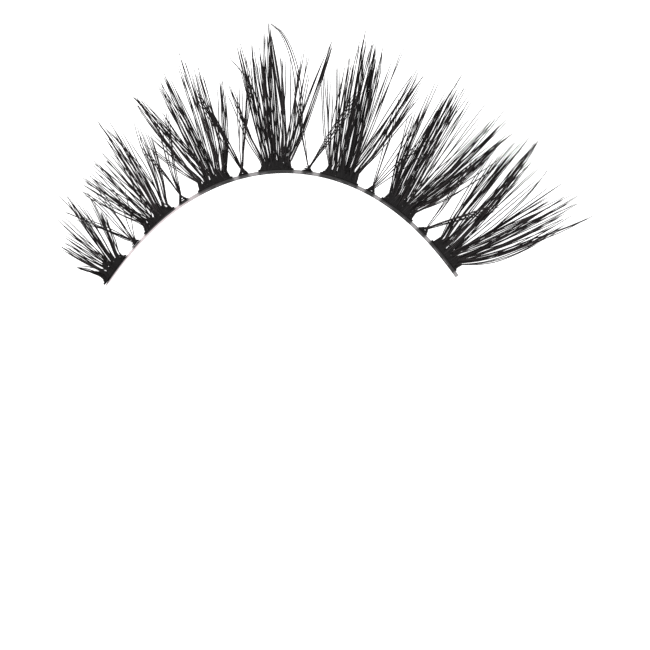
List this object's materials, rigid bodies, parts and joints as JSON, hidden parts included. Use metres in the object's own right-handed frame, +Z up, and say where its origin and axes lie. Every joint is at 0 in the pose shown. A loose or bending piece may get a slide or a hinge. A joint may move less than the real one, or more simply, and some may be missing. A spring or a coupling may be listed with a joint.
{
  "type": "false eyelash strip",
  "caption": "Strip of false eyelashes on a thin bent band: fanned tufts of long tapered lashes with small crossed lashes between them, curled up at the tips, lying flat",
  "frame": {"origin": "middle of the band's underside at the top of the arch, on the surface that the strip lies on", "axes": "+X along the strip towards the outer corner of the eye, +Y away from the eyelid at the top of the arch, +Z up, the way the tips curl"},
  "size_m": [0.0409, 0.0212, 0.0058],
  "materials": {
    "band": "thin pale grey translucent plastic, satin",
    "lashes": "black synthetic fibre, soft sheen along the lash"
  },
  "bodies": {
    "root": {"band": "band", "tuft_1": "lashes", "tuft_2": "lashes", "tuft_3": "lashes", "tuft_4": "lashes", "tuft_5": "lashes", "tuft_6": "lashes", "tuft_7": "lashes", "cross_1": "lashes", "cross_2": "lashes", "cross_3": "lashes", "cross_4": "lashes", "cross_5": "lashes", "cross_6": "lashes"}
  },
  "joints": []
}
